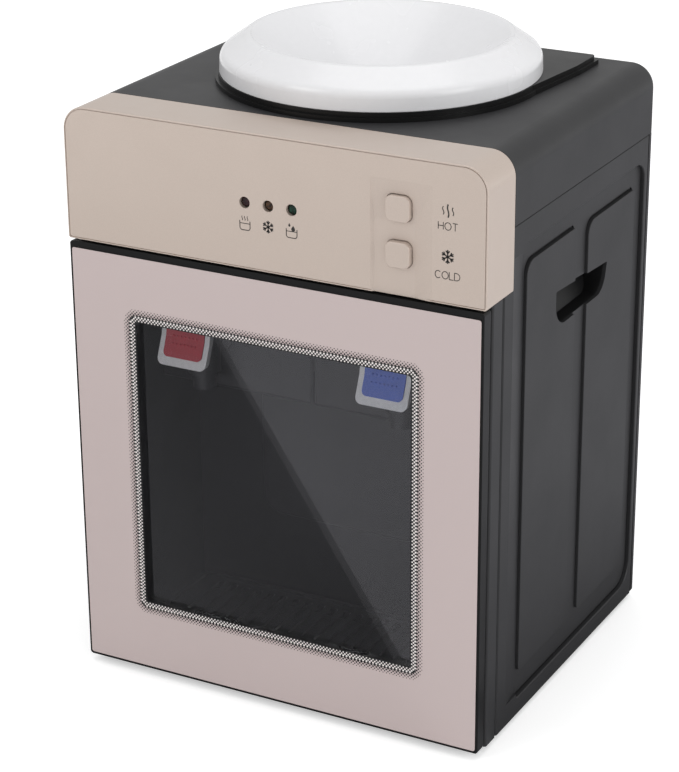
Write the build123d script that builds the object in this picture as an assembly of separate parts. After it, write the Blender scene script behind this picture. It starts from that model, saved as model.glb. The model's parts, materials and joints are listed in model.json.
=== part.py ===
from build123d import *
import os

# Countertop hot and cold water dispenser. Millimetres, base on z = 0, front facing -Y, right hand +X.

# Driving dimensions of the outer body.
WIDTH = 270.0
HALF_W = WIDTH / 2
BODY_TOP = 360.0
DOOR_FRONT = -120.0
PANEL_FRONT = -119.0
PANEL_BACK = -84.0
PANEL_BOTTOM = 279.6
BODY_BACK = 119.6
REAR_FACE = 119.6
REARMOST = 121.0
FOOT_H = 4.0
SEAM_Z = 317.5
TOP_CORNER_R = 14.5
WALL = 2.5
GAP = 0.4

# Lower body, set in from the top cover.
SIDE_X = 134.0
SIDE_T = 4.0
SIDE_FRONT = -94.0
SIDE_BACK = 114.4
REAR_RIM_Y = 115.2
SEAM_GAP = 1.1
INNER_X = SIDE_X - SIDE_T
FRAME_FRONT = -108.5
FRAME_BACK = -95.4
FRAME_TOP = 279.2

# Side relief, grip and the screws of the rear cover.
FIELD_X = SIDE_X - 2.4
RAISED_X = SIDE_X - 0.6
GROOVE_X = SIDE_X - 3.1
FIELD_CORNERS = [(-66, 15), (110, 15), (110, 301), (-66, 301)]
FIELD_RADII = [3, 16, 12, 3]
GRIP_FLOOR_X = 123.0
GRIP_ROOF_X = 112.0
SCREW_X = 125.5
SCREW_Z = (22.0, 158.0, 296.0)

# Dispensing bay.
BAY_X = 104.0
BAY_FLOOR = 22.0
BAY_TOP = 262.0
BAY_BACK = -30.0
LINER_T = 2.0
HOUSING_FRONT = -70.0
HOUSING_BOTTOM = 180.0

# Door and its hinge.
DOOR_X = 134.0
DOOR_BOTTOM = 5.0
DOOR_TOP = 278.4
DOOR_BACK = -110.0
GLASS_T = 4.0
GLASS_BACK = DOOR_FRONT + GLASS_T
WINDOW_X = 96.0
WINDOW_Z = (42.0, 238.0)
HINGE_X = -131.0
HINGE_Y = -112.6
HINGE_EYE_R = 2.9
HINGE_PIN_R = 1.2
EYE_LOW = (5.4, 8.2)
EYE_HIGH = (274.6, 277.4)

# Bottle seat on the top deck.
SEAT_Y = 18.0
DECK_R = 98.5
DECK_EAR_X = 104.0
DECK_BACK = 105.0
DECK_STEP = 362.6
DECK_TOP = 365.2
DECK_HOLE_R = 60.0
COLLAR_R = 96.0
RIDGE_Z = 387.6
THROAT_R = 28.5
THROAT_BOTTOM = 326.0

# Taps: one each side of the middle.
TAP_X = 66.0
VALVE_Y = -84.0
SHANK_Z = 214.0
LEVER_PIN_Y = -95.0
LEVER_PIN_Z = 230.0
PADDLE_W = 33.0
PADDLE_LOW = 207.0
PADDLE_KNEE = 223.0
PADDLE_TOP = 243.0
PAD_Z = 225.5

# Control panel furniture.
LED_X = (-15.0, 0.0, 15.0)
LED_Z = 319.0
LED_R = 3.0
BUTTON_X = 81.5
BUTTON_Z = {"hot": 330.2, "cold": 303.8}
BUTTON_W = 15.0
BOARD_Y = -104.0

# Tanks.
COLD_R = 44.0
COLD_Z = (235.0, 318.0)
HOT_R = 38.0
HOT_X = -55.0
HOT_Y = 66.0
HOT_Z = (60.0, 190.0)
HOT_OUTLET_Y = 50.0
STUB_R = 4.0
HOSE_R = 6.0
FAN_Z = 276.0
FAN_Y = 91.0
SINK_Y = 65.0
DRAIN_Z = 34.0
GLAND_X = 90.0
GLAND_Z = 30.0

MIDDLE = (Align.CENTER, Align.CENTER, Align.MIN)


def block(x0, x1, y0, y1, z0, z1):
    """Box between two corners."""
    size = Box(x1 - x0, y1 - y0, z1 - z0)
    return Pos((x0 + x1) / 2, (y0 + y1) / 2, (z0 + z1) / 2) * size


def both(x0, x1, y0, y1, z0, z1):
    """The same box on the left and on the right of the middle plane."""
    return block(x0, x1, y0, y1, z0, z1) + block(-x1, -x0, y0, y1, z0, z1)


def rod(start, end, radius):
    """Round bar from start to end."""
    length = (Vector(*end) - Vector(*start)).length
    plane = Plane(origin=start, z_dir=Vector(*end) - Vector(*start))
    return plane * Cylinder(radius, length, align=MIDDLE)


def outline(points, radii):
    """Closed polygon with rounded corners."""
    return make_face(FilletPolyline(*points, radius=radii, close=True))


def rect_outline(x0, x1, z0, z1, lower_r, upper_r):
    """Rectangle whose lower and upper corners have their own radius."""
    corners = [(x0, z0), (x1, z0), (x1, z1), (x0, z1)]
    return outline(corners, [lower_r, lower_r, upper_r, upper_r])


def front_prism(face, y0, y1):
    """Extrude an x-z outline between two y planes."""
    return extrude(Plane.XZ.offset(-y1) * face, y1 - y0)


def side_prism(face, x0, x1):
    """Extrude a y-z outline between two x planes."""
    return extrude(Plane.YZ.offset(x0) * face, x1 - x0)


def flat_prism(face, z0, z1):
    """Extrude an x-y outline between two heights."""
    return extrude(Plane.XY.offset(z0) * face, z1 - z0)


def turned(points, radii, x, y):
    """Revolve an r-z outline about the vertical axis at x, y."""
    plane = Plane(origin=(x, y, 0), x_dir=(1, 0, 0), z_dir=(0, -1, 0))
    return revolve(plane * outline(points, radii), Axis((x, y, 0), (0, 0, 1)))


def edges_at(part, axis, value, tolerance=0.02):
    """Edges lying wholly in the plane where this axis has this value."""
    return part.edges().filter_by_position(axis, value - tolerance, value + tolerance)


def mirrored(part):
    """Mirror image across the middle plane."""
    return mirror(part, Plane.YZ)


# Outer shells


def control_panel():
    outer = front_prism(
        rect_outline(-HALF_W, HALF_W, PANEL_BOTTOM, BODY_TOP, 1.5, TOP_CORNER_R),
        PANEL_FRONT,
        PANEL_BACK - GAP / 2,
    )
    outer = fillet(edges_at(outer, Axis.Y, PANEL_FRONT), 0.5)
    outer = chamfer(edges_at(outer, Axis.Y, PANEL_BACK - GAP / 2), 0.4)
    outer -= face_line()
    inner_x = HALF_W - WALL
    hollow = front_prism(
        rect_outline(
            -inner_x, inner_x, PANEL_BOTTOM + WALL, BODY_TOP - WALL, 0.5, TOP_CORNER_R - WALL
        ),
        PANEL_FRONT + WALL,
        PANEL_BACK,
    )
    shell = outer - hollow
    shell -= block(-inner_x, inner_x, -109, PANEL_BACK, PANEL_BOTTOM - 1, PANEL_BOTTOM + WALL)
    shell -= button_strip()
    for x in LED_X:
        shell -= rod((x, PANEL_FRONT - 1, LED_Z), (x, PANEL_FRONT + 4, LED_Z), LED_R + 0.4)
    for z in BUTTON_Z.values():
        window = Pos(BUTTON_X, z) * RectangleRounded(BUTTON_W + 1.0, BUTTON_W + 1.0, 4.5)
        shell -= front_prism(window, PANEL_FRONT - 1, PANEL_FRONT + 4)
    return shell + panel_bosses()


def face_line():
    """Fine line cut just inside the rim of the front face."""
    rims = []
    for inset in (0.8, 1.35):
        edge = HALF_W - inset
        low, high = PANEL_BOTTOM + inset, BODY_TOP - inset
        rims.append(rect_outline(-edge, edge, low, high, 1.0, TOP_CORNER_R - inset))
    return front_prism(rims[0] - rims[1], PANEL_FRONT - 1, PANEL_FRONT + 0.6)


def button_strip():
    """Shallow sunk strip round the buttons: it slopes in on the left and fades out upwards."""
    left, right = 64.0, 102.0
    depth = 1.5
    across = Polyline(
        (left, PANEL_FRONT),
        (left, PANEL_FRONT - 1),
        (right, PANEL_FRONT - 1),
        (right, PANEL_FRONT),
        (right - 11.0, PANEL_FRONT + depth),
        (left + 2.0, PANEL_FRONT + depth),
        close=True,
    )
    fade = Polyline(
        (PANEL_FRONT - 2, PANEL_BOTTOM - 2),
        (PANEL_FRONT + depth, PANEL_BOTTOM - 2),
        (PANEL_FRONT + depth, 322),
        (PANEL_FRONT, 346),
        (PANEL_FRONT - 2, 346),
        close=True,
    )
    strip = flat_prism(make_face(across), PANEL_BOTTOM - 2, 346)
    return strip & side_prism(make_face(fade), left - 1, right + 1)


def panel_bosses():
    """Blind bosses that hold the circuit board behind the panel."""
    bosses = []
    for x in (-36, 56):
        for z in (296, 338):
            bosses.append(rod((x, PANEL_FRONT + WALL, z), (x, BOARD_Y, z), 3.0))
    return Compound(children=bosses)


def top_cover():
    outer = front_prism(
        rect_outline(-HALF_W, HALF_W, SEAM_Z, BODY_TOP, 0, TOP_CORNER_R), PANEL_BACK, BODY_BACK
    )
    rear = edges_at(outer, Axis.Y, BODY_BACK)
    outer = fillet(rear.sort_by(Axis.Z)[1:], 5.0)
    inner_x = HALF_W - WALL
    hollow = front_prism(
        rect_outline(-inner_x, inner_x, SEAM_Z - 1, BODY_TOP - WALL, 0, TOP_CORNER_R - WALL),
        PANEL_BACK - 1,
        BODY_BACK - WALL,
    )
    shell = outer - hollow
    shell -= rod((0, SEAT_Y, 350), (0, SEAT_Y, 370), DECK_HOLE_R)
    skirt_x = INNER_X - 0.3
    shell += both(skirt_x - 2, skirt_x, -70, 100, 309, 330)
    shell += both(skirt_x - 2, inner_x + 0.5, -70, 100, 326, 330)
    return shell


def deck_outline(inset):
    radius = DECK_R - inset
    back = DECK_BACK - inset
    face = Pos(0, SEAT_Y) * Circle(radius)
    ear = DECK_EAR_X - inset
    right = [(radius, SEAT_Y + 5), (ear, 75), (ear, back)]
    left = [(-x, y) for x, y in reversed(right)]
    face += outline(right + left, [0, 30, 3, 3, 30, 0])
    return face - Pos(0, SEAT_Y) * Circle(DECK_HOLE_R)


def deck_trim():
    ring = flat_prism(deck_outline(0), BODY_TOP, DECK_STEP)
    outer = edges_at(ring, Axis.Z, DECK_STEP).filter_by(lambda e: e.length > 200)
    return fillet(outer.sort_by(Edge.length)[-1:], 0.6) if outer else ring


def deck_plate():
    return flat_prism(deck_outline(2.0), DECK_STEP, DECK_TOP)


def side_field():
    """Sunk field of the side: sharp at the rear and bottom, sloping in at the front."""
    field = side_prism(outline(FIELD_CORNERS, FIELD_RADII), FIELD_X, SIDE_X + 1)
    slope = make_face(Polyline((SIDE_X, -82), (SIDE_X, -64), (FIELD_X, -64), close=True))
    return field + flat_prism(slope, 18, 298)


def edge_groove():
    """Face of the deep line that follows the rear and bottom edges of the field."""
    field = outline(FIELD_CORNERS, FIELD_RADII)
    inside = [(-70, 16.8), (108.6, 16.8), (108.6, 305), (-70, 305)]
    return field - outline(inside, [0, 14, 0, 0])


def grip_face(grow):
    """Half-moon grip: top falling a little to the rear, rounded below, leaning rear edge."""
    low = 235.8 - grow
    front, rear = -20.8 - grow, 55.0 + grow
    corners = [(front, low), (rear - 5, low), (rear, 253.4 + grow), (front, 258.4 + grow)]
    return outline(corners, [14 + grow, 13 + grow, 1 + grow, 1 + grow])


def grip_pocket(grow):
    """Finger hollow whose back wall leans inwards towards the top."""
    wedge = Polyline(
        (GRIP_FLOOR_X - grow, 230),
        (150, 230),
        (150, 262),
        (GRIP_ROOF_X - grow - 2.4, 262),
        (GRIP_FLOOR_X - grow, 235.8),
        close=True,
    )
    return side_prism(grip_face(grow), 100, SIDE_X + 1) & front_prism(make_face(wedge), -60, 90)


def on_field_rim(edge):
    """Whether an edge of the skin runs along the top or the rear of the field."""
    middle = edge.center()
    return -50 < middle.Y < 111 and 50 < middle.Z < 302


def right_side_panel():
    """Moulded side with a sunk field, two raised panels and a grip pocket."""
    panel = block(INNER_X, SIDE_X, SIDE_FRONT, SIDE_BACK, FOOT_H, SEAM_Z - SEAM_GAP)
    panel -= block(INNER_X - 1, SIDE_X + 1, -96, PANEL_BACK + GAP, FRAME_TOP, SEAM_Z)
    panel = chamfer(edges_at(panel, Axis.Y, SIDE_FRONT).filter_by(Axis.Z).sort_by(Axis.X)[-1:], 0.8)
    top_edges = edges_at(panel, Axis.Z, SEAM_Z - SEAM_GAP).filter_by(Axis.Y)
    panel = chamfer(top_edges.sort_by(Axis.X)[-1:], 0.5)
    rear_edges = edges_at(panel, Axis.Y, SIDE_BACK).filter_by(Axis.Z)
    panel = chamfer(rear_edges.sort_by(Axis.X)[-1:], 0.5)
    panel -= side_field()
    rim = edges_at(panel, Axis.X, SIDE_X).filter_by(on_field_rim)
    panel = chamfer(rim, 0.5)
    front = outline([(-62.5, 32), (7, 32), (7, 289.5), (-62.5, 289.5)], [2, 10, 3, 9])
    rear = outline([(25, 33), (96, 33), (96, 287), (25, 287)], [2, 15, 3, 9])
    for face in (front, rear):
        raised = side_prism(face, FIELD_X - 0.5, RAISED_X)
        panel += fillet(edges_at(raised, Axis.X, RAISED_X), 0.4)
        panel -= side_prism(Pos(-0.65, 1.7) * face - face, GROOVE_X, SIDE_X + 1)
    panel -= side_prism(edge_groove(), GROOVE_X, SIDE_X + 1)
    pocket_shell = grip_pocket(2.0) & block(100, FIELD_X - 0.2, -60, 90, 220, 270)
    panel += pocket_shell
    panel -= grip_pocket(0)
    panel += block(121, INNER_X + 0.5, SIDE_BACK - 2.6, SIDE_BACK, 10, 310)
    panel += block(122, INNER_X + 0.5, SIDE_FRONT, -91.5, 10, 270)
    for z in SCREW_Z:
        panel -= rod((SCREW_X, 108, z), (SCREW_X, 117, z), 1.5)
    return panel


def left_side_panel():
    return mirrored(right_side_panel())


def rear_cover():
    """Back wall that also closes the rear corners, with vents and a sunk drain outlet."""
    inside = REAR_FACE - 2.6
    plate = front_prism(
        rect_outline(-SIDE_X, SIDE_X, FOOT_H, SEAM_Z - SEAM_GAP, 1.5, 0), REAR_RIM_Y, REAR_FACE
    )
    plate = fillet(edges_at(plate, Axis.Y, REAR_FACE).filter_by(Axis.Z), 1.5)
    rim_x = SIDE_X - 5.5
    plate -= block(-rim_x, rim_x, SIDE_BACK, inside, FOOT_H + 4, SEAM_Z - 4)
    plate += both(97, 103, REAR_FACE - 0.5, REARMOST, 60, 280)
    plate += block(-22, 22, 98, inside + 0.5, DRAIN_Z - 20, DRAIN_Z + 20)
    plate -= block(-20, 20, 100, REAR_FACE + 1, DRAIN_Z - 18, DRAIN_Z + 18)
    plate -= rod((0, 90, DRAIN_Z), (0, 105, DRAIN_Z), 8.1)
    plate -= rod((GLAND_X, 110, GLAND_Z), (GLAND_X, 121, GLAND_Z), 6.05)
    plate -= rear_vents()
    for x in (-SCREW_X, SCREW_X):
        for z in SCREW_Z:
            plate += rod((x, REAR_RIM_Y, z), (x, REAR_FACE - 1, z), 4.0)
            plate -= rod((x, 110, z), (x, 122, z), 1.7)
            plate -= rod((x, REAR_FACE - 1.6, z), (x, 122, z), 3.3)
    return plate


def rear_vents():
    """Two fields of vent slots: behind the fan and low down behind the power board."""
    slots = []
    for row in range(8):
        z = 245 + 8.8 * row
        slots += [block(x - 16, x + 16, 115, 120, z - 2, z + 2) for x in (-18, 18)]
    for row in range(7):
        z = 92 + 8.8 * row
        slots += [block(x - 22, x + 22, 115, 120, z - 2, z + 2) for x in (-52, 0, 52)]
    return Compound(children=slots)


def rear_screws():
    screws = []
    for x in (-SCREW_X, SCREW_X):
        for z in SCREW_Z:
            head = rod((x, REAR_FACE - 1.6, z), (x, REAR_FACE - 0.1, z), 3.0)
            slot = block(x - 2.2, x + 2.2, REAR_FACE - 0.7, REAR_FACE, z - 0.4, z + 0.4)
            cross = block(x - 0.4, x + 0.4, REAR_FACE - 0.7, REAR_FACE, z - 2.2, z + 2.2)
            shank = rod((x, 108, z), (x, REAR_FACE - 1.6, z), 1.5)
            screws.append(head - slot - cross + shank)
    return Compound(children=screws)


# Base, feet and front frame

FOOT_AT = [(x, y) for x in (-112.0, 112.0) for y in (-80.0, 98.0)]
POST_AT = [(x, y) for x in (14.0, 94.0) for y in (26.0, 89.0)]


def base_plate():
    """Flat floor with posts for the power board and sockets for the feet."""
    half = INNER_X - 0.3
    plate = block(-half, half, -92, 111.8, FOOT_H, FOOT_H + WALL)
    for x, y in POST_AT:
        plate += rod((x, y, FOOT_H + 1), (x, y, 16), 3.5)
    for x, y in FOOT_AT:
        plate -= rod((x, y, 0), (x, y, 10), 3.05)
    return plate


def hot_tank_stand():
    """Ring under the hot tank, open on one side for the drain hose."""
    floor = FOOT_H + WALL
    ring = rod((HOT_X, HOT_Y, floor), (HOT_X, HOT_Y, HOT_Z[0]), 31)
    ring -= rod((HOT_X, HOT_Y, floor - 1), (HOT_X, HOT_Y, HOT_Z[0] + 1), 28)
    return ring - block(HOT_X, HOT_X + 40, HOT_Y - 9, HOT_Y + 9, floor - 1, 45)


def rubber_feet():
    feet = []
    for x, y in FOOT_AT:
        disc = rod((x, y, 0), (x, y, FOOT_H), 9)
        feet.append(disc + rod((x, y, FOOT_H), (x, y, FOOT_H + 2), 3.0))
    return Compound(children=feet)


def hinge_eye(z0, z1):
    """Ear standing forward of the frame, bored for a door pin."""
    side = HINGE_EYE_R
    eye = rod((HINGE_X, HINGE_Y, z0), (HINGE_X, HINGE_Y, z1), side)
    eye += block(HINGE_X - side, HINGE_X + side, HINGE_Y, FRAME_FRONT + 1, z0, z1)
    return eye - rod((HINGE_X, HINGE_Y, z0 - 1), (HINGE_X, HINGE_Y, z1 + 1), HINGE_PIN_R + 0.1)


def front_frame():
    frame = block(-SIDE_X, SIDE_X, FRAME_FRONT, FRAME_BACK, FOOT_H, FRAME_TOP)
    frame = fillet(edges_at(frame, Axis.Y, FRAME_FRONT).filter_by(Axis.Z), 1.5)
    frame = chamfer(edges_at(frame, Axis.Y, FRAME_BACK).filter_by(Axis.Z), 0.8)
    cavity = block(-131, 131, FRAME_FRONT + WALL, FRAME_BACK + 1, FOOT_H + WALL, FRAME_TOP - WALL)
    lip = 2.5
    core = block(
        -BAY_X - lip, BAY_X + lip, FRAME_FRONT, FRAME_BACK, BAY_FLOOR - lip, BAY_TOP + lip
    )
    frame -= cavity - core
    frame -= block(-BAY_X, BAY_X, FRAME_FRONT - 1, FRAME_BACK + 1, BAY_FLOOR, BAY_TOP)
    frame += hinge_eye(*EYE_LOW) + hinge_eye(*EYE_HIGH)
    frame += block(110, 126, FRAME_FRONT + 1, -101, 129, 151)
    frame -= block(112, 124, FRAME_FRONT - 1, -103, 131, 149)
    frame += board_bracket()
    return frame


def board_bracket():
    """Upright behind the control panel that carries the circuit board."""
    plate = block(-40, 108, -100.5, -98, FRAME_TOP - WALL, 345)
    for x in (-30, 98):
        for z in (298, 336):
            plate += rod((x, -99, z), (x, BOARD_Y + 1.6, z), 2.5)
    return plate


def door_magnet():
    return block(112.1, 123.9, -109.7, -103, 131.1, 148.9)


# Dispensing bay


def bay_liner():
    """Open-fronted box: floor, side walls, ceiling and a rear wall with a raised pad."""
    outer_x = BAY_X + LINER_T
    back = BAY_BACK + LINER_T
    low = BAY_FLOOR - LINER_T
    high = BAY_TOP + LINER_T
    liner = both(BAY_X, outer_x, FRAME_BACK, back, low, high)
    liner += block(-outer_x, outer_x, FRAME_BACK, back, low, BAY_FLOOR)
    liner += block(-outer_x, outer_x, BAY_BACK, back, low, HOUSING_BOTTOM)
    liner += block(-outer_x, outer_x, FRAME_BACK, HOUSING_FRONT + WALL, BAY_TOP, high)
    pad = front_prism(
        rect_outline(-57, 57, 84, HOUSING_BOTTOM, 14, 0), BAY_BACK - 3.0, BAY_BACK + 0.5
    )
    rim = edges_at(pad, Axis.Y, BAY_BACK - 3.0).sort_by(Axis.Z)[:-1]
    return liner + fillet(rim, 1.5)


def tap_housing(side):
    """Half of the box the taps stand on: front wall, underside and a hole for the shank."""
    inner = 0.5
    outer = BAY_X - 0.2
    back = BAY_BACK + LINER_T
    shell = block(inner, outer, HOUSING_FRONT, back, HOUSING_BOTTOM, BAY_TOP - 0.2)
    front_low = edges_at(shell, Axis.Y, HOUSING_FRONT).filter_by(Axis.X).sort_by(Axis.Z)[:1]
    shell = fillet(front_low, 3.0)
    shell = chamfer(edges_at(shell, Axis.Y, HOUSING_FRONT).filter_by(Axis.Z).sort_by(Axis.X)[:1], 1)
    shell -= block(
        -1, outer + 1, HOUSING_FRONT + WALL, back + 1, HOUSING_BOTTOM + WALL, BAY_TOP + 1
    )
    hole_start = (TAP_X, HOUSING_FRONT - 1, SHANK_Z)
    shell -= rod(hole_start, (TAP_X, HOUSING_FRONT + 5, SHANK_Z), 7.1)
    return shell if side > 0 else mirrored(shell)


def drip_tray():
    tray = flat_prism(Pos(0, -65) * RectangleRounded(194, 56, 8), BAY_FLOOR + 0.2, 35)
    tray -= flat_prism(Pos(0, -65) * RectangleRounded(190, 52, 6), BAY_FLOOR + 2.2, 36)
    for x in (-92.5, 92.5):
        for y in (-86, -65, -44):
            tray += rod((x, y, BAY_FLOOR + 1), (x, y, 31), 2.5)
    return tray


def drip_grille():
    grille = flat_prism(Pos(0, -65) * RectangleRounded(189.4, 51.4, 5.7), 31, 33.2)
    for step in range(-9, 10):
        grille -= flat_prism(Pos(9 * step, -65) * SlotOverall(42, 5, rotation=90), 30, 34)
    return grille


# Taps, built for the right-hand side and mirrored for the left


def tap_body():
    """Valve barrel, outlet nozzle and threaded shank with a flange against the housing."""
    barrel = rod((TAP_X, VALVE_Y, 196), (TAP_X, VALVE_Y, 228), 10)
    barrel += rod((TAP_X, VALVE_Y, 186), (TAP_X, VALVE_Y, 197), 7)
    barrel += rod((TAP_X, VALVE_Y, SHANK_Z), (TAP_X, -48, SHANK_Z), 7)
    barrel += rod((TAP_X, -73, SHANK_Z), (TAP_X, HOUSING_FRONT, SHANK_Z), 12)
    for x in (TAP_X - 8, TAP_X + 6):
        barrel += block(x, x + 2, LEVER_PIN_Y - 3, VALVE_Y, 223, LEVER_PIN_Z + 3)
    barrel -= rod((TAP_X, VALVE_Y, 200), (TAP_X, VALVE_Y, 224), 6)
    barrel -= rod((TAP_X, VALVE_Y, 185), (TAP_X, VALVE_Y, 201), 4)
    barrel -= rod((TAP_X, VALVE_Y, 223), (TAP_X, VALVE_Y, 240), 2.1)
    barrel -= rod((TAP_X, VALVE_Y, SHANK_Z), (TAP_X, -47, SHANK_Z), 4)
    pin_left = (TAP_X - 12, LEVER_PIN_Y, LEVER_PIN_Z)
    return barrel - rod(pin_left, (TAP_X + 12, LEVER_PIN_Y, LEVER_PIN_Z), 1.5)


def paddle_y(z):
    """How far the paddle stands back at a height: it leans, and its lip kicks forward."""
    return (z - PADDLE_LOW) / 6 - max(0.0, PADDLE_KNEE - z) * 0.25


def paddle_face(front, back, low, high):
    """Side view of a plate that leans back and has its lower end bent forward."""
    line = [(paddle_y(z), z) for z in (low, PADDLE_KNEE, high)]
    ahead = [(front + y, z) for y, z in line]
    behind = [(back + y, z) for y, z in reversed(line)]
    return make_face(Polyline(*ahead, *behind, close=True))


def tap_lever():
    """Paddle with two ears on the pin and two arms that lift the valve stem."""
    half = PADDLE_W / 2
    paddle = side_prism(paddle_face(-107, -103, PADDLE_LOW, PADDLE_TOP), TAP_X - half, TAP_X + half)
    upright = paddle.edges().filter_by(lambda e: abs(e.tangent_at(0.5).X) < 0.01)
    corners = [e for e in upright if abs(e.tangent_at(0.5).Z) < 0.3]
    paddle = fillet(corners, 4.0)
    window = Pos(TAP_X, PAD_Z) * RectangleRounded(26.4, 27.4, 3.2)
    cutter = front_prism(window, -110, -95) & side_prism(
        paddle_face(-110, -105.8, PADDLE_LOW, PADDLE_TOP), TAP_X - half, TAP_X + half
    )
    paddle -= cutter
    for x in (TAP_X - 10.4, TAP_X + 8.2):
        paddle += block(x, x + 2.2, -100, -82, 228.5, 233)
    pin_left = (TAP_X - 12, LEVER_PIN_Y, LEVER_PIN_Z)
    return paddle - rod(pin_left, (TAP_X + 12, LEVER_PIN_Y, LEVER_PIN_Z), 1.6)


def lever_pad():
    """Coloured insert of the paddle with three rows of raised beads."""
    body = side_prism(paddle_face(-107.6, -105.8, PADDLE_LOW, PADDLE_TOP), TAP_X - 20, TAP_X + 20)
    body &= front_prism(Pos(TAP_X, PAD_Z) * RectangleRounded(26.0, 27.0, 3.0), -112, -94)
    beads = []
    for z in (PAD_Z - 6, PAD_Z - 1.5, PAD_Z + 3):
        y = paddle_y(z) - 107.6
        for step in range(-3, 4):
            beads.append(Pos(TAP_X + 2.6 * step, y + 0.3, z) * Sphere(0.8))
    return body + beads


def lever_pins():
    start = (TAP_X - 10.4, LEVER_PIN_Y, LEVER_PIN_Z)
    pin = rod(start, (TAP_X + 10.4, LEVER_PIN_Y, LEVER_PIN_Z), 1.5)
    return Compound(children=[pin, mirrored(pin)])


def valve_plunger():
    """Valve disc, stem and the crossbar that the lever arms lift."""
    plunger = rod((TAP_X, VALVE_Y, 200.4), (TAP_X, VALVE_Y, 203.4), 5.6)
    plunger += rod((TAP_X, VALVE_Y, 203), (TAP_X, VALVE_Y, 234), 2.0)
    return plunger + block(TAP_X - 10.4, TAP_X + 10.4, VALVE_Y - 1.5, VALVE_Y + 1.5, 233.4, 236)


def tap_nuts():
    plane = Plane(origin=(TAP_X, HOUSING_FRONT + WALL, SHANK_Z), z_dir=(0, 1, 0))
    nut = plane * extrude(RegularPolygon(11, 6), 6)
    nut -= rod((TAP_X, -72, SHANK_Z), (TAP_X, -50, SHANK_Z), 7.05)
    return Compound(children=[nut, mirrored(nut)])


# Door


def door_frame():
    ring = front_prism(
        rect_outline(-DOOR_X, DOOR_X, DOOR_BOTTOM, DOOR_TOP, 2, 2), DOOR_FRONT + 0.6, DOOR_BACK
    )
    back_left = edges_at(ring, Axis.Y, DOOR_BACK).filter_by(Axis.Z).sort_by(Axis.X)[:1]
    ring = fillet(back_left, 2.0)
    ring -= front_prism(
        rect_outline(-132.6, 132.6, 6.6, 274.6, 1.6, 1.6), DOOR_FRONT - 1, GLASS_BACK
    )
    low, high = WINDOW_Z
    ring -= front_prism(rect_outline(-WINDOW_X, WINDOW_X, low, high, 4, 4), -121, -109)
    for z0, z1 in ((DOOR_BOTTOM - 1, EYE_LOW[1] + 0.5), (EYE_HIGH[0] - 0.5, DOOR_TOP + 1)):
        ring -= block(-DOOR_X - 1, -127.2, GLASS_BACK, DOOR_BACK + 1, z0, z1)
    ring -= rod((HINGE_X, HINGE_Y, 0), (HINGE_X, HINGE_Y, 15), HINGE_PIN_R)
    ring -= rod((HINGE_X, HINGE_Y, 268), (HINGE_X, HINGE_Y, 280), HINGE_PIN_R)
    return ring - block(112, 124, -111, DOOR_BACK + 1, 131, 149)


def door_glass():
    pane = front_prism(rect_outline(-132.4, 132.4, 6.8, 274.4, 1.4, 1.4), DOOR_FRONT, GLASS_BACK)
    return fillet(edges_at(pane, Axis.Y, DOOR_FRONT), 0.5)


def door_pins():
    low = rod((HINGE_X, HINGE_Y, 5.6), (HINGE_X, HINGE_Y, 15), HINGE_PIN_R)
    high = rod((HINGE_X, HINGE_Y, 268), (HINGE_X, HINGE_Y, 277.2), HINGE_PIN_R)
    return Compound(children=[low, high])


def strike_plate():
    return block(112.1, 123.9, -111, DOOR_BACK, 131.1, 148.9)


# Panel electronics


def panel_board():
    return block(-40, 104, BOARD_Y, BOARD_Y + 1.6, 288, 345)


def light_pipe(x):
    pipe = rod((x, PANEL_FRONT + 1.6, LED_Z), (x, BOARD_Y, LED_Z), LED_R)
    return fillet(edges_at(pipe, Axis.Y, PANEL_FRONT + 1.6), 1.2)


def push_button(name):
    """Square cap, a flange that keeps it behind the panel, and a stem into the switch."""
    z = BUTTON_Z[name]
    cap = front_prism(Pos(BUTTON_X, z) * RectangleRounded(BUTTON_W, BUTTON_W, 4), -121, -114.5)
    cap = fillet(edges_at(cap, Axis.Y, -121), 0.8)
    cap += front_prism(Pos(BUTTON_X, z) * RectangleRounded(17.6, 17.6, 4), -116.3, -114.5)
    return cap + rod((BUTTON_X, -115, z), (BUTTON_X, -107, z), 2.5)


def button_switches():
    switches = []
    for z in BUTTON_Z.values():
        case = block(BUTTON_X - 7, BUTTON_X + 7, -111.5, BOARD_Y, z - 7, z + 7)
        switches.append(case - rod((BUTTON_X, -112, z), (BUTTON_X, -104.3, z), 2.7))
    return Compound(children=switches)


# Bottle seat


def bottle_funnel():
    """Collar with an outer slope to the ridge, an inner cone and the throat."""
    points = [
        (COLLAR_R, DECK_TOP),
        (95.6, 376.4),
        (79.5, RIDGE_Z),
        (76.5, RIDGE_Z),
        (THROAT_R, 350.0),
        (THROAT_R, THROAT_BOTTOM),
        (THROAT_R + 2.5, THROAT_BOTTOM),
        (THROAT_R + 2.5, 348.8),
        (77.8, 385.5),
        (93.2, 375.0),
        (93.5, DECK_TOP),
    ]
    return turned(points, [0.6, 7, 3, 3, 9, 0.8, 0, 6, 1, 4, 0], 0, SEAT_Y)


def funnel_seal():
    return turned([(31, 322), (34, 322), (34, 329), (31, 329)], [0.5] * 4, 0, SEAT_Y)


def bottle_probe():
    """Ring under the throat with three arms and a hollow pointed probe."""
    ring = turned([(28.6, 321), (30.8, 321), (30.8, 325.9), (28.6, 325.9)], [0] * 4, 0, SEAT_Y)
    spike = turned([(0, 300), (7, 300), (7, 316), (1.5, 325.5), (0, 325.5)], [0] * 5, 0, SEAT_Y)
    for angle in (90, 210, 330):
        arm = block(0, 29.5, -1.5, 1.5, 321, 324)
        spike += Pos(0, SEAT_Y, 0) * (Rot(0, 0, angle) * arm)
    bore = rod((0, SEAT_Y, 299), (0, SEAT_Y, 313), 4)
    windows = rod((-8, SEAT_Y, 308), (8, SEAT_Y, 308), 2.5)
    return ring + spike - bore - windows


# Tanks, cooling and hoses


def stub(start, end):
    return rod(start, end, STUB_R)


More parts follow.
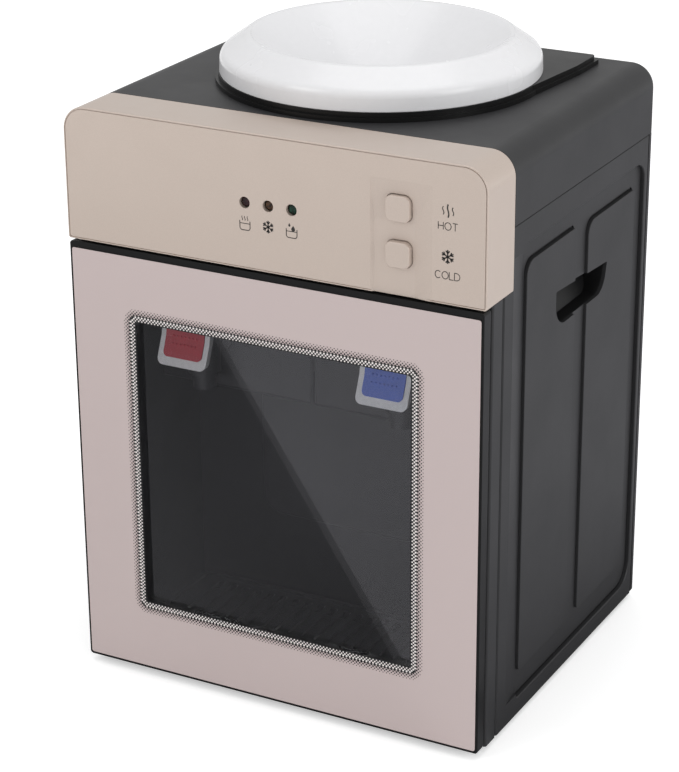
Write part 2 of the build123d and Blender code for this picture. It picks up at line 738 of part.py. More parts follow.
def bored(part, start, end):
    return part - rod(start, end, STUB_R - 1)


def cold_tank():
    low, high = COLD_Z
    skin = 1.2
    points = [
        (0, low),
        (COLD_R, low),
        (COLD_R, high),
        (35.5, high),
        (35.5, 332),
        (34, 332),
        (34, high - skin),
        (COLD_R - skin, high - skin),
        (COLD_R - skin, low + skin),
        (0, low + skin),
    ]
    tank = turned(points, [0, 5, 3, 0, 0, 0, 0, 2, 4, 0], 0, SEAT_Y)
    for x in (-25, 25):
        tank += stub((x, SEAT_Y, 226), (x, SEAT_Y, low + 1))
        tank = bored(tank, (x, SEAT_Y, 225), (x, SEAT_Y, low + 2))
    return tank


def tank_insulation():
    outer = COLD_R + 9
    points = [(COLD_R + 0.2, 240), (outer, 240), (outer, 314), (COLD_R + 0.2, 314)]
    sleeve = turned(points, [0, 2, 2, 0], 0, SEAT_Y)
    return sleeve - block(-25, 25, SEAT_Y + 14, 80, 239, 315)


def cold_block():
    body = block(-20, 20, 42, SINK_Y, FAN_Z - 26, FAN_Z + 26)
    return body - rod((0, SEAT_Y, 240), (0, SEAT_Y, 310), COLD_R + 0.05)


def heat_sink():
    sink = block(-35, 35, SINK_Y, SINK_Y + 5, FAN_Z - 35, FAN_Z + 35)
    for step in range(-7, 8):
        x = 4.8 * step
        sink += block(x - 0.7, x + 0.7, SINK_Y + 4.5, FAN_Y, FAN_Z - 35, FAN_Z + 35)
    return sink


def fan_frame():
    hub, back = FAN_Y + 12.8, FAN_Y + 14.8
    case = front_prism(Pos(0, FAN_Z) * RectangleRounded(70, 70, 4), FAN_Y + 0.2, back)
    case -= rod((0, FAN_Y - 1, FAN_Z), (0, back + 1, FAN_Z), 33)
    case += rod((0, hub, FAN_Z), (0, back, FAN_Z), 13)
    for angle in (0, 90, 180, 270):
        arm = Rot(0, angle, 0) * block(12, 33.5, hub, back, -2, 2)
        case += Pos(0, 0, FAN_Z) * arm
    for x in (-30, 30):
        for z in (FAN_Z - 30, FAN_Z + 30):
            case -= rod((x, FAN_Y - 1, z), (x, back + 1, z), 2)
    return case


def fan_rotor():
    rotor = rod((0, FAN_Y + 2, FAN_Z), (0, FAN_Y + 12.2, FAN_Z), 13)
    blade = Pos(21.5, FAN_Y + 7, 0) * (Rot(35, 0, 0) * Box(19, 1.2, 9))
    for index in range(7):
        rotor += Pos(0, 0, FAN_Z) * (Rot(0, index * 360 / 7, 0) * blade)
    return rotor


def tank_frame():
    """Sheet-metal bridge that carries the cold tank over the hot tank."""
    back = 110.8
    shelf = block(-107, 107, -20, back, COLD_Z[0] - 2.5, COLD_Z[0])
    frame = shelf + both(105, 107, 62, back, FOOT_H + WALL, COLD_Z[0] - 1)
    frame += both(98, 106, 62, back, FOOT_H + WALL, FOOT_H + WALL + 2)
    for x in (-25, 25):
        frame -= rod((x, SEAT_Y, 230), (x, SEAT_Y, 240), STUB_R + 1)
    return frame


def hot_tank():
    low, high = HOT_Z
    skin = 1.2
    outer = turned([(0, low), (HOT_R, low), (HOT_R, high), (0, high)], [0, 10, 10, 0], HOT_X, HOT_Y)
    inside = HOT_R - skin
    points = [(0, low + skin), (inside, low + skin), (inside, high - skin), (0, high - skin)]
    tank = outer - turned(points, [0, 9, 9, 0], HOT_X, HOT_Y)
    ports = [
        ((HOT_X, HOT_Y, 51), (HOT_X, HOT_Y, low + 1)),
        ((-TAP_X, HOT_OUTLET_Y, high + 8), (-TAP_X, HOT_OUTLET_Y, high - 1)),
        ((HOT_X, SEAT_Y + 9.2, 80), (HOT_X, HOT_Y - HOT_R + 1, 80)),
    ]
    for start, end in ports:
        step = (Vector(*end) - Vector(*start)).normalized()
        tank += stub(start, end)
        tank = bored(tank, start, tuple(Vector(*end) + step * 3))
    return tank


def thermostats():
    top = HOT_Z[1]
    discs = []
    for x, y in ((-38, 72), (-60, 84)):
        disc = rod((x, y, top), (x, y, top + 6), 8)
        blades = [block(x + d - 1, x + d + 1, y - 2.5, y + 2.5, top + 5, top + 12) for d in (-4, 4)]
        discs.append(disc + blades)
    return Compound(children=discs)


def hose(points, bend):
    """Flexible tube of one bore along a route with rounded bends."""
    route = FilletPolyline(*points, radius=bend)
    start = Plane(origin=route @ 0, z_dir=route % 0)
    section = start * (Circle(HOSE_R) - Circle(STUB_R))
    return sweep(section, path=route)


def cold_hose():
    run = [(25, SEAT_Y, 232), (25, SEAT_Y, SHANK_Z), (TAP_X, SEAT_Y, SHANK_Z)]
    return hose(run + [(TAP_X, -47, SHANK_Z)], 12)


def hot_hose():
    start = (-TAP_X, HOT_OUTLET_Y, HOT_Z[1] + 0.5)
    return hose([start, (-TAP_X, HOT_OUTLET_Y, SHANK_Z), (-TAP_X, -47, SHANK_Z)], 12)


def feed_hose():
    run = [(-25, SEAT_Y, 232), (-25, SEAT_Y, 80), (HOT_X, SEAT_Y, 80)]
    return hose(run + [(HOT_X, HOT_Y - HOT_R - 0.5, 80)], 9)


def drain_hose():
    run = [(HOT_X, HOT_Y, 59.5), (HOT_X, HOT_Y, DRAIN_Z), (0, HOT_Y, DRAIN_Z)]
    return hose(run + [(0, 94, DRAIN_Z)], 12)


def drain_spout():
    spout = rod((0, 95, DRAIN_Z), (0, 97.9, DRAIN_Z), 12)
    spout += rod((0, 95, DRAIN_Z), (0, 112, DRAIN_Z), 8)
    spout += rod((0, 86, DRAIN_Z), (0, 96, DRAIN_Z), STUB_R)
    return spout - rod((0, 85, DRAIN_Z), (0, 113, DRAIN_Z), STUB_R - 1)


def drain_cap():
    """Hand-turned cap with finger flutes round its edge."""
    cap = rod((0, 101, DRAIN_Z), (0, 116.5, DRAIN_Z), 13)
    cap = chamfer(edges_at(cap, Axis.Y, 116.5), 1.2)
    cap -= rod((0, 100, DRAIN_Z), (0, 112.6, DRAIN_Z), 8.1)
    for index in range(12):
        flute = rod((14.2, 99, 0), (14.2, 118, 0), 2.2)
        cap -= Pos(0, 0, DRAIN_Z) * (Rot(0, 30 * index, 0) * flute)
    return cap


def cord_gland():
    gland = rod((GLAND_X, 110, GLAND_Z), (GLAND_X, REARMOST, GLAND_Z), 6.0)
    gland += rod((GLAND_X, REAR_FACE, GLAND_Z), (GLAND_X, REARMOST, GLAND_Z), 9)
    gland += rod((GLAND_X, 112, GLAND_Z), (GLAND_X, 116.3, GLAND_Z), 8)
    return gland - rod((GLAND_X, 109, GLAND_Z), (GLAND_X, 122, GLAND_Z), 3.5)


def power_board():
    board = block(8, 100, 20, 95, 16, 17.6)
    for x, y in POST_AT:
        board -= rod((x, y, 15), (x, y, 18), 1.6)
    return board


def power_components():
    top = 17.6
    items = [
        block(22, 56, 34, 66, top, top + 28),
        block(64, 82, 30, 46, top, top + 16),
        block(64, 82, 52, 68, top, top + 16),
        block(24, 60, 74, 84, top, top + 10),
    ]
    items += [rod((x, 76, top), (x, 76, top + 20), 5) for x in (68, 81)]
    return Compound(children=items)


PARTS = {
    "control_panel": control_panel,
    "top_cover": top_cover,
    "deck_trim": deck_trim,
    "deck_plate": deck_plate,
    "right_side_panel": right_side_panel,
    "left_side_panel": left_side_panel,
    "rear_cover": rear_cover,
    "rear_screws": rear_screws,
    "base_plate": base_plate,
    "rubber_feet": rubber_feet,
    "hot_tank_stand": hot_tank_stand,
    "front_frame": front_frame,
    "door_magnet": door_magnet,
    "bay_liner": bay_liner,
    "hot_tap_housing": lambda: tap_housing(-1),
    "cold_tap_housing": lambda: tap_housing(1),
    "drip_tray": drip_tray,
    "drip_grille": drip_grille,
    "hot_tap_body": lambda: mirrored(tap_body()),
    "cold_tap_body": tap_body,
    "hot_lever": lambda: mirrored(tap_lever()),
    "cold_lever": tap_lever,
    "hot_lever_pad": lambda: mirrored(lever_pad()),
    "cold_lever_pad": lever_pad,
    "lever_pins": lever_pins,
    "hot_plunger": lambda: mirrored(valve_plunger()),
    "cold_plunger": valve_plunger,
    "tap_nuts": tap_nuts,
    "door_frame": door_frame,
    "door_glass": door_glass,
    "door_pins": door_pins,
    "strike_plate": strike_plate,
    "panel_board": panel_board,
    "led_heating": lambda: light_pipe(LED_X[0]),
    "led_cooling": lambda: light_pipe(LED_X[1]),
    "led_keep_warm": lambda: light_pipe(LED_X[2]),
    "hot_button": lambda: push_button("hot"),
    "cold_button": lambda: push_button("cold"),
    "button_switches": button_switches,
    "bottle_funnel": bottle_funnel,
    "funnel_seal": funnel_seal,
    "bottle_probe": bottle_probe,
    "cold_tank": cold_tank,
    "tank_insulation": tank_insulation,
    "cold_block": cold_block,
    "heat_sink": heat_sink,
    "fan_frame": fan_frame,
    "fan_rotor": fan_rotor,
    "tank_frame": tank_frame,
    "hot_tank": hot_tank,
    "thermostats": thermostats,
    "cold_hose": cold_hose,
    "hot_hose": hot_hose,
    "feed_hose": feed_hose,
    "drain_hose": drain_hose,
    "drain_spout": drain_spout,
    "drain_cap": drain_cap,
    "cord_gland": cord_gland,
    "power_board": power_board,
    "power_components": power_components,
}

os.makedirs("parts", exist_ok=True)
for name, make in PARTS.items():
    export_step(make(), f"parts/{name}.step")
    print(name)
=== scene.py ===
"""Looks of the countertop water dispenser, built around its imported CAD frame."""

import json
import math

import bmesh
import bpy
from mathutils import Matrix, Vector


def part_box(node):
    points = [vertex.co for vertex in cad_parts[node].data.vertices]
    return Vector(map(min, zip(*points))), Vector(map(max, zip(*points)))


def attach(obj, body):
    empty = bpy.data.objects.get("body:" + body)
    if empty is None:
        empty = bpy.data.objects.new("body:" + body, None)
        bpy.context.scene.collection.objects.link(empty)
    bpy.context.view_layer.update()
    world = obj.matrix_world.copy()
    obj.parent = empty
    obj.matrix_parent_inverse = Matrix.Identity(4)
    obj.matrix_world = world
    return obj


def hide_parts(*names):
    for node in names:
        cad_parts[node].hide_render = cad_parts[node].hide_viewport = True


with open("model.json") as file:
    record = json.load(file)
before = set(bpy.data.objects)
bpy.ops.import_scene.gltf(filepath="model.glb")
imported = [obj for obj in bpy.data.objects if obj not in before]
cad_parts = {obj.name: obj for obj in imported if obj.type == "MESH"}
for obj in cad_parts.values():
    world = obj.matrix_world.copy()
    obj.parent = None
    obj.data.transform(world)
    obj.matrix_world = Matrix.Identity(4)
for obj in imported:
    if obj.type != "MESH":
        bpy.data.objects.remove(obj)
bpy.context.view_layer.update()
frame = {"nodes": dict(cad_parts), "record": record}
MM = 0.001

# ---------------------------------------------------------------- materials


def tint(red, green, blue):
    """Linear colour of an sRGB triple given from 0 to 255."""
    parts = [c / 255 for c in (red, green, blue)]
    linear = [c / 12.92 if c <= 0.04045 else ((c + 0.055) / 1.055) ** 2.4 for c in parts]
    return (*linear, 1.0)


class Finish:
    """A Principled material with grain in its colour, roughness and surface."""

    def __init__(self, name, colour, **sockets):
        self.material = bpy.data.materials.new(name)
        self.material.use_nodes = True
        self.material.diffuse_color = colour
        self.nodes = self.material.node_tree.nodes
        self.links = self.material.node_tree.links
        self.shader = self.nodes["Principled BSDF"]
        self.place = self.nodes.new("ShaderNodeTexCoord").outputs["Object"]
        self.shader.inputs["Base Color"].default_value = colour
        self.colour = colour
        for socket, value in sockets.items():
            self.shader.inputs[socket.replace("_", " ")].default_value = value

    def noise(self, scale, detail=2.0, stretch=None):
        """Noise of that scale per metre, drawn out along an axis if stretch is given."""
        texture = self.nodes.new("ShaderNodeTexNoise")
        texture.inputs["Scale"].default_value = scale
        texture.inputs["Detail"].default_value = detail
        place = self.place
        if stretch:
            mapping = self.nodes.new("ShaderNodeMapping")
            mapping.inputs["Scale"].default_value = stretch
            self.links.new(place, mapping.inputs["Vector"])
            place = mapping.outputs["Vector"]
        self.links.new(place, texture.inputs["Vector"])
        return texture.outputs["Fac"]

    def spread(self, source, low, high):
        """Maps the middle of a noise onto the range from low to high."""
        node = self.nodes.new("ShaderNodeMapRange")
        node.inputs["From Min"].default_value = 0.3
        node.inputs["From Max"].default_value = 0.7
        node.inputs["To Min"].default_value = low
        node.inputs["To Max"].default_value = high
        self.links.new(source, node.inputs["Value"])
        return node.outputs["Result"]

    def maths(self, operation, *sources):
        """Result of a maths node fed from those sockets."""
        node = self.nodes.new("ShaderNodeMath")
        node.operation = operation
        for source, socket in zip(sources, node.inputs):
            self.links.new(source, socket)
        return node.outputs["Value"]

    def mottle(self, source, darker, lighter):
        """Colour that wanders between two strengths of the base tone."""
        node = self.nodes.new("ShaderNodeMix")
        node.data_type = "RGBA"
        for socket, gain in (("A", darker), ("B", lighter)):
            shade = [min(1.0, c * gain) for c in self.colour[:3]]
            self.mix_socket(node, socket).default_value = (*shade, 1.0)
        self.links.new(self.spread(source, 0, 1), node.inputs["Factor"])
        self.links.new(node.outputs[2], self.shader.inputs["Base Color"])
        return self

    @staticmethod
    def mix_socket(node, name):
        return [s for s in node.inputs if s.name == name and s.type == "RGBA"][0]

    def rough(self, low, high, scale=60.0, stretch=None):
        source = self.noise(scale, 3.0, stretch)
        self.links.new(self.spread(source, low, high), self.shader.inputs["Roughness"])
        return self

    def bump(self, scale, depth, strength=1.0, detail=2.0, stretch=None):
        """Relief of that depth in metres, laid over any relief made before."""
        node = self.nodes.new("ShaderNodeBump")
        node.inputs["Strength"].default_value = strength
        node.inputs["Distance"].default_value = depth
        self.links.new(self.noise(scale, detail, stretch), node.inputs["Height"])
        normal = self.shader.inputs["Normal"]
        if normal.is_linked:
            self.links.new(normal.links[0].from_socket, node.inputs["Normal"])
        self.links.new(node.outputs["Normal"], normal)
        return self


def moulded(name, colour, low, high, grain=1500.0, depth=1.2e-5, vary=0.05, **sockets):
    """Moulded plastic: fine eroded grain, slow changes in the gloss."""
    finish = Finish(name, colour, **sockets)
    finish.mottle(finish.noise(grain * 0.5, 3.0), 1 - vary, 1 + vary)
    return finish.rough(low, high, 28.0).bump(grain, depth).material


def side_shell(name, colour, low, high):
    """Moulded side with painted shade: the colour fades to black inwards from the skin, darkening the
    deep lines and the finger grip.
    """
    finish = Finish(name, colour, Specular_IOR_Level=0.3)
    across = finish.nodes.new("ShaderNodeSeparateXYZ")
    finish.links.new(finish.place, across.inputs["Vector"])
    outward = finish.maths("ABSOLUTE", across.outputs["X"])
    # Painted shade: the base colour drops towards black below the outer skin, in the grooves and the
    # grip.
    depth = finish.nodes.new("ShaderNodeMapRange")
    for socket, value in RECESS_PAINTED_SHADE.items():
        depth.inputs[socket].default_value = value
    finish.links.new(outward, depth.inputs["Value"])
    grain = finish.spread(finish.noise(750.0, 3.0), 0.9, 1.0)
    gain = finish.maths("MULTIPLY", grain, depth.outputs["Result"])
    tone = finish.nodes.new("ShaderNodeMix")
    tone.data_type = "RGBA"
    finish.mix_socket(tone, "A").default_value = (0, 0, 0, 1)
    finish.mix_socket(tone, "B").default_value = colour
    finish.links.new(gain, tone.inputs["Factor"])
    finish.links.new(tone.outputs[2], finish.shader.inputs["Base Color"])
    return finish.rough(low, high, 28.0).bump(1500.0, 1.2e-5).material


def metal(name, colour, low, high, stretch=None, depth=2e-6):
    finish = Finish(name, colour, Metallic=1.0)
    finish.mottle(finish.noise(220.0, 3.0, stretch), 0.9, 1.05)
    return finish.rough(low, high, 260.0, stretch).bump(700.0, depth, 1.0, 2.0, stretch).material


def champagne_paint():
    """Satin metallic lacquer with fine flake and a little orange peel."""
    finish = Finish("champagne_paint", tint(196, 181, 170), Metallic=0.22)
    finish.shader.inputs["Coat Weight"].default_value = 0.35
    finish.shader.inputs["Coat Roughness"].default_value = 0.18
    finish.mottle(finish.noise(3200.0, 1.0), 0.95, 1.05)
    return finish.rough(0.34, 0.46, 45.0).bump(900.0, 6e-6).bump(120.0, 8e-6).material


def printed_glass():
    """Glass painted on its back: the tone lies under a polished surface."""
    finish = Finish("printed_glass", tint(194, 179, 177), Metallic=0.1)
    finish.shader.inputs["Coat Weight"].default_value = 0.3
    finish.shader.inputs["Coat Roughness"].default_value = 0.2
    finish.mottle(finish.noise(2600.0, 1.0), 0.975, 1.025)
    return finish.rough(0.4, 0.5, 30.0).bump(22.0, 3e-6, 0.4).material


def smoked_pane():
    """Clear tinted sheet: what is behind shows through, and the surface mirrors faintly."""
    finish = Finish("smoked_pane", (1, 1, 1, 1), Metallic=1.0)
    finish.rough(0.002, 0.006, 18.0)
    see = finish.nodes.new("ShaderNodeBsdfTransparent")
    see.inputs["Color"].default_value = (0.93, 0.93, 0.94, 1)
    gloss = finish.nodes.new("ShaderNodeFresnel")
    gloss.inputs["IOR"].default_value = 1.45
    blend = finish.nodes.new("ShaderNodeMixShader")
    finish.links.new(gloss.outputs["Fac"], blend.inputs["Fac"])
    finish.links.new(see.outputs["BSDF"], blend.inputs[1])
    finish.links.new(finish.shader.outputs["BSDF"], blend.inputs[2])
    output = finish.nodes["Material Output"]
    finish.links.new(blend.outputs["Shader"], output.inputs["Surface"])
    return finish.material


def lens(name, colour):
    finish = Finish(name, colour, Specular_IOR_Level=0.3)
    finish.mottle(finish.noise(700.0, 1.0), 0.3, 1.9)
    return finish.rough(0.1, 0.2, 300.0).bump(500.0, 4e-5, 0.6).material


def board():
    """Circuit board lacquer with tracks showing as faint lighter lines."""
    finish = Finish("board_lacquer", (0.02, 0.11, 0.045, 1))
    finish.mottle(finish.noise(420.0, 0.0, (1.0, 1.0, 0.15)), 0.7, 1.5)
    return finish.rough(0.3, 0.45, 200.0).bump(600.0, 2e-5).material


def rubber(name, colour):
    finish = Finish(name, colour)
    finish.mottle(finish.noise(300.0, 3.0), 0.85, 1.15)
    return finish.rough(0.6, 0.8, 90.0).bump(1200.0, 3e-5).material


# Painted shade of the side recesses: distance from the middle plane in metres, and the share of the
# tone kept there.
RECESS_PAINTED_SHADE = {"From Min": 0.1309, "From Max": 0.1313, "To Min": 0.3, "To Max": 1.0}
BRUSHED = (1.0, 1.0, 0.04)
FINISHES = {
    "champagne": champagne_paint(),
    "dark_shell": moulded(
        "dark_shell_plastic", (0.027, 0.027, 0.0285, 1), 0.40, 0.46, Specular_IOR_Level=0.3
    ),
    "gloss_black": moulded(
        "black_satin_plastic",
        (0.007, 0.007, 0.007, 1),
        0.28,
        0.36,
        grain=600,
        depth=4e-6,
        Specular_IOR_Level=0.22,
    ),
    "white_collar": moulded("white_gloss_plastic", (0.80, 0.80, 0.815, 1), 0.2, 0.3, 500, 4e-6, 0.008),
    "door_glass": printed_glass(),
    "bay_dark": moulded("bay_black_plastic", (0.026, 0.026, 0.029, 1), 0.3, 0.42, 1100, 1e-5),
    "red_insert": moulded("red_plastic", (0.52, 0.03, 0.05, 1), 0.3, 0.4, 900, 1e-5),
    "blue_insert": moulded("blue_plastic", (0.07, 0.15, 0.62, 1), 0.3, 0.4, 900, 1e-5),
    "lever_grey": moulded("lever_grey_plastic", (0.84, 0.85, 0.85, 1), 0.3, 0.42, 900, 1e-5),
    "black_rubber": rubber("foot_rubber", (0.014, 0.014, 0.014, 1)),
    "silicone": rubber("silicone_tube", (0.55, 0.55, 0.53, 1)),
    "stainless": metal("brushed_stainless", (0.60, 0.60, 0.60, 1), 0.22, 0.34, BRUSHED),
    "bright_steel": metal("plated_steel", (0.66, 0.66, 0.67, 1), 0.12, 0.22),
    "zinc_sheet": metal("zinc_sheet", (0.42, 0.43, 0.45, 1), 0.35, 0.5, None, 8e-6),
    "magnet": metal("sintered_magnet", (0.08, 0.08, 0.085, 1), 0.45, 0.6, None, 2e-5),
    "aluminium": metal("extruded_aluminium", (0.70, 0.70, 0.71, 1), 0.28, 0.4, (1.0, 0.05, 1.0)),
    "foam": moulded("insulation_foam", (0.66, 0.66, 0.62, 1), 0.8, 0.95, 350, 3e-4),
    "circuit_board": board(),
    "component_black": moulded("component_black", (0.02, 0.02, 0.021, 1), 0.42, 0.55),
    "led_red": lens("lens_red", (0.022, 0.006, 0.008, 1)),
    "led_amber": lens("lens_amber", (0.045, 0.022, 0.010, 1)),
    "led_green": lens("lens_green", (0.003, 0.025, 0.014, 1)),
    "white_inner": moulded("inner_white_plastic", (0.66, 0.66, 0.66, 1), 0.4, 0.5),
}
# Side panels: moulded plastic with painted shade in its grooves and finger grip.
SIDE_SHELL_PAINTED_SHADE = side_shell("side_shell_plastic_painted_shade", (0.0275, 0.0275, 0.029, 1), 0.40, 0.46)
SMOKE = smoked_pane()
INK = moulded("printing_ink", (0.022, 0.019, 0.017, 1), 0.4, 0.55, 2500, 2e-6)
BLACK_DOT = moulded("black_dot_ink", (0.010, 0.010, 0.011, 1), 0.25, 0.35, 2500, 2e-6)
LIGHT_DOT = moulded("light_dot_ink", (0.80, 0.76, 0.74, 1), 0.25, 0.35, 2500, 2e-6)


def dress_cad_nodes():
    """Gives every CAD node the finish of the slot that its record names; side panels instead get the
    side finish with painted recess shade.
    """
    for part in frame["record"]["subparts"]:
        for slot in frame["nodes"][part["node"]].material_slots:
            side = part["node"].endswith("side_panel")
            slot.material = SIDE_SHELL_PAINTED_SHADE if side else FINISHES[part["material_slot"]]


# ---------------------------------------------------------------- flat printed pieces


def piece(name, mesh_maker, material, body):
    """Adds a mesh that rides on a body and takes its finish from a slot."""
    shape = bmesh.new()
    mesh_maker(shape)
    mesh = bpy.data.meshes.new(name)
    shape.normal_update()
    shape.to_mesh(mesh)
    shape.free()
    mesh.materials.append(material)
    made = bpy.data.objects.new(name, mesh)
    bpy.context.scene.collection.objects.link(made)
    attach(made, body)
    return made


def slab(shape, outline, front, thick):
    """Flat prism facing -Y, from a closed outline of (x, z) in millimetres."""
    ends = []
    for y in (front, front + thick):
        ends.append([shape.verts.new((x * MM, y * MM, z * MM)) for x, z in outline])
    shape.faces.new(ends[0])
    shape.faces.new(ends[1][::-1])
    count = len(outline)
    for i in range(count):
        j = (i + 1) % count
        shape.faces.new((ends[0][i], ends[1][i], ends[1][j], ends[0][j]))


def ellipse(x, z, rx, rz, steps=24):
    turns = [2 * math.pi * i / steps for i in range(steps)]
    return [(x + rx * math.cos(t), z + rz * math.sin(t)) for t in turns]


def stroke(points, width):
    """Outline of a line of even width drawn through the points."""
    left, right = [], []
    for i, point in enumerate(points):
        before = Vector(points[max(i - 1, 0)])
        after = Vector(points[min(i + 1, len(points) - 1)])
        along = (after - before).normalized()
        across = Vector((-along.y, along.x)) * width / 2
        left.append(tuple(Vector(point) + across))
        right.append(tuple(Vector(point) - across))
    return left + right[::-1]


def segments(points, width):
    """The same line as separate short bars, for lines that close or turn sharply."""
    return [stroke(pair, width) for pair in zip(points, points[1:])]


def arc(x, z, rx, rz, start, end, steps=10):
    angles = [math.radians(start + (end - start) * i / steps) for i in range(steps + 1)]
    return [(x + rx * math.cos(a), z + rz * math.sin(a)) for a in angles]


def wave(x, low, high, sway, width):
    """Rising wisp of steam."""
    steps = 10
    points = []
    for i in range(steps + 1):
        part = i / steps
        points.append((x + sway * math.sin(2 * math.pi * part), low + (high - low) * part))
    return segments(points, width)


def snowflake(x, z, size):
    """Six arms from a middle, each with a pair of barbs near its tip."""
    bars = []
    for k in range(6):
        angle = math.radians(90 + 60 * k)

        def at(distance, turn=0.0, length=0.0):
            px = x + distance * math.cos(angle) + length * math.cos(angle + turn)
            return (px, z + distance * math.sin(angle) + length * math.sin(angle + turn))

        bars.append(stroke([at(0.0), at(size)], size * 0.2))
        for turn in (0.7, -0.7):
            bars.append(stroke([at(size * 0.5), at(size * 0.5, turn, size * 0.45)], size * 0.19))
    return bars


def pot(x, z, width, height):
    """Open vessel: two sides, a rounded bottom and a water line."""
    half = width / 2
    corner = height * 0.28
    line = [(x - half, z + height), (x - half, z + corner)]
    line += arc(x - half + corner, z + corner, corner, corner, 180, 270, 4)
    line += arc(x + half - corner, z + corner, corner, corner, 270, 360, 4)
    line += [(x + half, z + height)]
    water = [(x - half, z + height * 0.72), (x + half, z + height * 0.72)]
    return segments(line, 0.5) + [stroke(water, 0.42)]


def drop(x, z, width, height):
    """Drop of water: a pointed top and a round foot."""
    half = width / 2
    return [(x, z + height)] + arc(x, z + half, half, half, 20, -200, 12)


def letter_d(w):
    bowl = arc(w / 3, 0.5, w * 0.66, 0.5, 90, -90, 12)
    return [[(0, 0), (0, 1), (w / 3, 1)] + bowl + [(0, 0)]]


# Strokes of each capital in a box one high and w wide, then that width.
LETTERS = {
    "H": lambda w: [[(0, 0), (0, 1)], [(w, 0), (w, 1)], [(0, 0.5), (w, 0.5)]],
    "O": lambda w: [arc(w / 2, 0.5, w / 2, 0.5, 0, 360, 20)],
    "T": lambda w: [[(0, 1), (w, 1)], [(w / 2, 0), (w / 2, 1)]],
    "C": lambda w: [arc(w / 2, 0.5, w / 2, 0.5, 45, 315, 16)],
    "L": lambda w: [[(0, 1), (0, 0), (w, 0)]],
    "D": letter_d,
}
LETTER_WIDTH = {"H": 0.72, "O": 0.9, "T": 0.72, "C": 0.84, "L": 0.6, "D": 0.78}


def word(text, x, z, height, gap, line):
    """Single-line capitals centred on x, with their feet at z."""
    widths = [LETTER_WIDTH[c] * height for c in text]
    left = x - (sum(widths) + gap * (len(text) - 1)) / 2
    bars = []
    for letter, width in zip(text, widths):
        for path in LETTERS[letter](LETTER_WIDTH[letter]):
            points = [(left + px * height, z + pz * height) for px, pz in path]
            bars += segments(points, line)
        left += width + gap
    return bars


def print_on_panel(name, outlines):
    """Thin layer of ink on the front of the control panel."""

    def draw(shape):
        for outline in outlines:
            slab(shape, outline, PANEL_FRONT - INK_PROUD, INK_THICK)

    piece(name, draw, INK, "chassis")


PANEL_FRONT = -119.0
INK_PROUD = 0.05
INK_THICK = 0.06
SIGN_DROP = 16.2
LABEL_OFFSET = 29.8
LETTER_HEIGHT = 4.2
LETTER_LINE = 0.45
LED_NODES = ("led_heating", "led_cooling", "led_keep_warm")
BUTTON_NODES = ("hot_button", "cold_button")


def middle(node):
    """Centre of a node's box, in millimetres."""
    low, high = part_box(node)
    return (low + high) / 2 / MM


def print_labels():
    """Signs under the three lamps and beside the two buttons."""
    heating, cooling, warm = (middle(node) for node in LED_NODES)
    below = heating.z - SIGN_DROP
    steam = [wave(heating.x + d, below + 5.6, below + 8.2, 0.25, 0.42) for d in (-1.7, 0, 1.7)]
    print_on_panel("sign_heating", pot(heating.x, below, 6.6, 5.4) + sum(steam, []))
    print_on_panel("sign_cooling", snowflake(cooling.x, below + 4.0, 3.7))
    drops = [drop(warm.x - 1.4, below + 6.4, 1.4, 2.2), drop(warm.x + 1.0, below + 3.9, 2.4, 3.4)]
    print_on_panel("sign_keep_warm", pot(warm.x, below, 6.8, 5.2) + drops)
    hot, cold = (middle(node) for node in BUTTON_NODES)
    label_x = hot.x + LABEL_OFFSET
    wisps = [
        wave(label_x + d, hot.z + 3.0 - tall / 2, hot.z + 3.0 + tall / 2, 0.4, width)
        for d, tall, width in ((-2.9, 4.6, 0.55), (0, 7.4, 0.85), (2.9, 4.6, 0.55))
    ]
    print_on_panel("sign_hot", sum(wisps, []))
    hot_word = word("HOT", label_x, hot.z - 7.8, LETTER_HEIGHT, 0.9, LETTER_LINE)
    print_on_panel("word_hot", hot_word)
    print_on_panel("sign_cold", snowflake(label_x, cold.z + 3.4, 4.0))
    cold_word = word("COLD", label_x, cold.z - 9.4, LETTER_HEIGHT, 0.6, LETTER_LINE)
    print_on_panel("word_cold", cold_word)


# ---------------------------------------------------------------- door glass

GLASS_LOW, GLASS_HIGH = (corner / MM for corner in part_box("door_glass"))
WINDOW_HALF = 94.3
WINDOW_LOW, WINDOW_HIGH = 47.4, 238.6
WINDOW_CORNER = 5.0
GLASS_CORNER = 1.4
DOT_PITCH = 2.2
DOT_PROUD = 0.03
DOT_SIDES = 8
FULL_DOT = DOT_PITCH * 0.31
PAINT = 0.2
FRIT_IN = 4.3
FRIT_OUT = 4.0


def rounded(x0, x1, z0, z1, radius, steps=6):
    """Closed outline of a rectangle with round corners."""
    points = []
    for cx, cz, start in (
        (x1 - radius, z1 - radius, 0),
        (x0 + radius, z1 - radius, 90),
        (x0 + radius, z0 + radius, 180),
        (x1 - radius, z0 + radius, 270),
    ):
        points += arc(cx, cz, radius, radius, start, start + 90, steps)
    return points


def window_outline(grow):
    radius = max(WINDOW_CORNER + grow, 2.5)
    return rounded(
        -WINDOW_HALF - grow, WINDOW_HALF + grow, WINDOW_LOW - grow, WINDOW_HIGH + grow, radius
    )


def frame_ring(shape, outer, inner, front, back):
    """Plate with a window: two outlines of as many points, joined front and back."""
    loops = []
    for outline in (outer, inner):
        for y in (front, back):
            loops.append([shape.verts.new((x * MM, y * MM, z * MM)) for x, z in outline])
    outer_front, outer_back, inner_front, inner_back = loops
    count = len(outer)
    for i in range(count):
        j = (i + 1) % count
        shape.faces.new((outer_front[i], inner_front[i], inner_front[j], outer_front[j]))
        shape.faces.new((outer_back[j], inner_back[j], inner_back[i], outer_back[i]))
        shape.faces.new((outer_front[j], outer_back[j], outer_back[i], outer_front[i]))
        shape.faces.new((inner_front[i], inner_back[i], inner_back[j], inner_front[j]))


